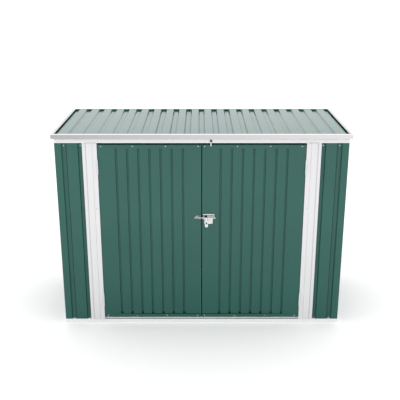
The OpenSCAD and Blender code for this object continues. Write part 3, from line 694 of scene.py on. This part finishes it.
# %% Screws of the jambs and the latch
dull_screw = model_screw("dull_screw", 5, 3.8, 1.4, dull_zinc)
jamb_screw_x, jamb_screw_y, jamb_screw_z = 0.6645, door_face_y - 0.004, 0.809
latch_screw_y = door_face_y - 0.0012
jamb_places = [(side * jamb_screw_x, jamb_screw_y, jamb_screw_z) for side in (-1, 1)]
plate_places = [(0.0527, latch_screw_y, 0.728), (0.0610, latch_screw_y, 0.711)]
keeper_places = [(-0.0420, latch_screw_y, 0.7435), (-0.0290, latch_screw_y, 0.7530)]
drive_screws("jamb_screws", dull_screw, jamb_places, to_front, "store")
drive_screws("plate_screws", dull_screw, plate_places, to_front, "door_right")
drive_screws("keeper_screws", dull_screw, keeper_places, to_front, "door_left")
bpy.data.objects.remove(dull_screw)

# %% [markdown]
# ## Rubber cap
# A rubber cap sits over the button of the door stop. It is a cylinder on its side, and a bevel rounds its
# edges, because rubber is moulded and never sharp. A ball pressed flat would be too round at the rim.

# %% Rubber cap
def rounded(piece, width, segments=3):
    select_only(piece)
    bpy.ops.object.transform_apply(location=True, rotation=True, scale=True)
    bevel = piece.modifiers.new("rounded edges", "BEVEL")
    bevel.width, bevel.segments, bevel.limit_method = width, segments, "ANGLE"
    bpy.ops.object.modifier_apply(modifier=bevel.name)
    bpy.ops.object.shade_smooth_by_angle(angle=math.radians(40))


cap_radius, cap_depth, cap_inset, cap_drop = 0.0072, 0.0045, 0.0015, 0.0065
stop_low, stop_high = (Vector(corner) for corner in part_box("door_stop"))
bpy.ops.object.select_all(action="DESELECT")
bpy.ops.mesh.primitive_cylinder_add(
    vertices=36, radius=cap_radius, depth=cap_depth, rotation=(math.radians(90), 0, 0),
    location=((stop_low.x + stop_high.x) / 2, stop_low.y + cap_inset, stop_high.z - cap_drop),
)
cap = bpy.context.object
cap.name = "stop_cap"
rounded(cap, 0.0012)
cap.data.materials.append(rubber_and_shade_black)
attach(cap, "door_right")
print("cap:", cap.name, len(cap.data.polygons))

# %% [markdown]
# ## Shade strip on the sill
# A thin black strip lies along the foot of the sill's lip, between the jambs: painted shade, where the doors
# shade the ledge. It is a long bar with rounded edges. A dark line in the sill's paint would do from afar,
# but has no shadow.

# %% Shade strip on the sill
def make_bar(name, low_corner, high_corner):
    low_corner, high_corner = Vector(low_corner), Vector(high_corner)
    bpy.ops.object.select_all(action="DESELECT")
    bpy.ops.mesh.primitive_cube_add(size=1, location=(low_corner + high_corner) / 2)
    bar = bpy.context.object
    bar.name = name
    bpy.ops.transform.resize(value=high_corner - low_corner)
    bpy.ops.object.transform_apply(location=True, rotation=True, scale=True)
    return bar


shade_strip_depth, shade_strip_height, shade_strip_length = 0.008, 0.0006, 1.286
shade_strip_back_y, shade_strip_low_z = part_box("base_rail_front")[0][1] + 0.010, 0.027
shade_strip = make_bar(
    "sill_shade_strip", (-shade_strip_length / 2, shade_strip_back_y - shade_strip_depth, shade_strip_low_z),
    (shade_strip_length / 2, shade_strip_back_y, shade_strip_low_z + shade_strip_height),
)
rounded(shade_strip, 0.0002, 2)
shade_strip.data.materials.append(rubber_and_shade_black)
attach(shade_strip, "store")
print("seal:", shade_strip.name, len(shade_strip.data.polygons))

# %% [markdown]
# ## Shade lines of the doors
# Each door's sheet goes into the channel of its bottom rail, and a thin black line along the channel's upper
# edge is painted shade, strongest near the middle of the store. It is a thin bar whose outer end is drawn out
# and made lower, so that it fades away. A bar of one height would stop short with a square end.

# %% Shade lines of the doors
shade_line_height, shade_line_taper, shade_line_proud, shade_line_lap = 0.0038, 0.15, 0.0003, 0.0027
for hand, side in (("left", -1), ("right", 1)):
    rail_low, rail_high = (Vector(corner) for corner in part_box(f"door_{hand}_bottom_rail"))
    inner_x, middle_x, outer_x = side * 0.003, side * 0.33, side * 0.58
    shade_line_low_z = rail_high.z - shade_line_lap
    shade_line = make_bar(
        f"door_{hand}_seam", (min(inner_x, middle_x), rail_low.y - shade_line_proud, shade_line_low_z),
        (max(inner_x, middle_x), door_face_y, shade_line_low_z + shade_line_height),
    )
    select_parts(shade_line, "FACE", lambda face: face.normal.x * side > 0.9)
    bpy.ops.mesh.extrude_region_move(TRANSFORM_OT_translate={"value": (outer_x - middle_x, 0, 0)})
    bpy.ops.transform.resize(value=(1, 1, shade_line_taper))
    bpy.ops.transform.translate(value=(0, 0, -shade_line_height * (1 - shade_line_taper) / 2))
    bpy.ops.object.mode_set(mode="OBJECT")
    rounded(shade_line, 0.0002, 1)
    shade_line.data.materials.append(rubber_and_shade_black)
    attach(shade_line, f"door_{hand}")
    print("seam:", shade_line.name, len(shade_line.data.polygons))

# %% [markdown]
# ## Highlight strip and shade pieces of the latch
# A thin bright strip on the flange over the bolt is a painted highlight. A black ring round the shelf's
# window and a dark piece in the hollow behind it are painted shade. The strip and the dark piece are bars
# with rounded edges; the ring is a bar with round ends, with the window's outline cut out of it. A bent tube
# could be the ring as well, but this one is flat.

# %% Highlight strip and shade piece
latch_low, latch_high = (Vector(corner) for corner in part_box("bolt_plate"))


def latch_bar(name, left_x, right_x, fronts, drops):
    """A bar between two distances in front of the door's sheet and two drops below the shelf's top."""
    front_y, back_y = (door_face_y - distance for distance in fronts)
    foot_z, head_z = (latch_high.z - drop for drop in drops)
    return make_bar(name, (left_x, front_y, foot_z), (right_x, back_y, head_z))


shelf_highlight = latch_bar(
    "shelf_highlight_strip", latch_low.x, latch_high.x - 0.002, fronts=(0.0160, 0.0035), drops=(0, -0.0004)
)
rounded(shelf_highlight, 0.0001, 1)
window_left, window_right = latch_low.x + 0.0070, latch_low.x + 0.0260
window_shade_piece = latch_bar(
    "window_shade_block", window_left - 0.0008, window_right + 0.0008, fronts=(0.0038, 0.0003),
    drops=(0.0152, 0.0030),
)
rounded(window_shade_piece, 0.0004, 2)
print("latch parts:", shelf_highlight.name, window_shade_piece.name)

# %% Shade ring
def round_ends(bar, radius):
    """Rounds the four edges of a bar that run from front to back."""
    select_parts(bar, "EDGE", lambda edge: abs((edge.verts[0].co - edge.verts[1].co).normalized().y) > 0.9)
    bpy.ops.mesh.bevel(offset=radius, segments=8)
    bpy.ops.object.mode_set(mode="OBJECT")


shade_ring = latch_bar(
    "window_shade_ring", window_left - 0.0002, window_right - 0.0006, fronts=(0.0067, 0.0060),
    drops=(0.0178, 0.0086),
)
round_ends(shade_ring, 0.0045)
opening = latch_bar(
    "shade_ring_opening", window_left + 0.0022, window_right - 0.0026, fronts=(0.0080, 0.0050),
    drops=(0.0156, 0.0106),
)
round_ends(opening, 0.0024)
select_only(shade_ring)
cut = shade_ring.modifiers.new("opening", "BOOLEAN")
cut.operation, cut.object = "DIFFERENCE", opening
bpy.ops.object.modifier_apply(modifier=cut.name)
bpy.data.objects.remove(opening)
bpy.ops.object.shade_smooth_by_angle(angle=math.radians(40))
for piece, material, slot in (
    (shelf_highlight, sill_paint, "white_trim"), (window_shade_piece, rubber_and_shade_black, "dark_rubber"), (shade_ring, rubber_and_shade_black, "dark_rubber"),
):
    piece.data.materials.append(material)
    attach(piece, "door_right")
print("grommet:", shade_ring.name, len(shade_ring.data.polygons))

# %% [markdown]
# ## Ground and light
# A pale floor and a bright, even surround: the light comes from everywhere, so the only shadow is the soft
# darkening where the store shades the ground. A few large lamps would do nearly the same, with more to set.

# %% Ground
ground_size, ground_colour, ground_roughness = 60, grey(0.87), 0.9
bpy.ops.object.select_all(action="DESELECT")
bpy.ops.mesh.primitive_plane_add(size=ground_size, location=(0, 0, 0))
ground = bpy.context.object
ground.name = "ground"
ground_material, ground_skin = new_material("pale_floor")[:2]
ground_skin.inputs["Base Color"].default_value = (*ground_colour, 1)
ground_skin.inputs["Roughness"].default_value = ground_roughness
ground_skin.inputs["Specular IOR Level"].default_value = 0.0
ground.data.materials.append(ground_material)
print("floor:", ground_size, "m", ground_material.name)

# %% Light
light_strength = 1.44
world = bpy.data.worlds.new("bright_surround")
world.use_nodes = True
surround = world.node_tree.nodes["Background"]
surround.inputs["Color"].default_value = (1, 1, 1, 1)
surround.inputs["Strength"].default_value = light_strength
bpy.context.scene.world = world
bpy.context.scene.view_settings.view_transform = "Standard"
print("light:", world.name, light_strength)
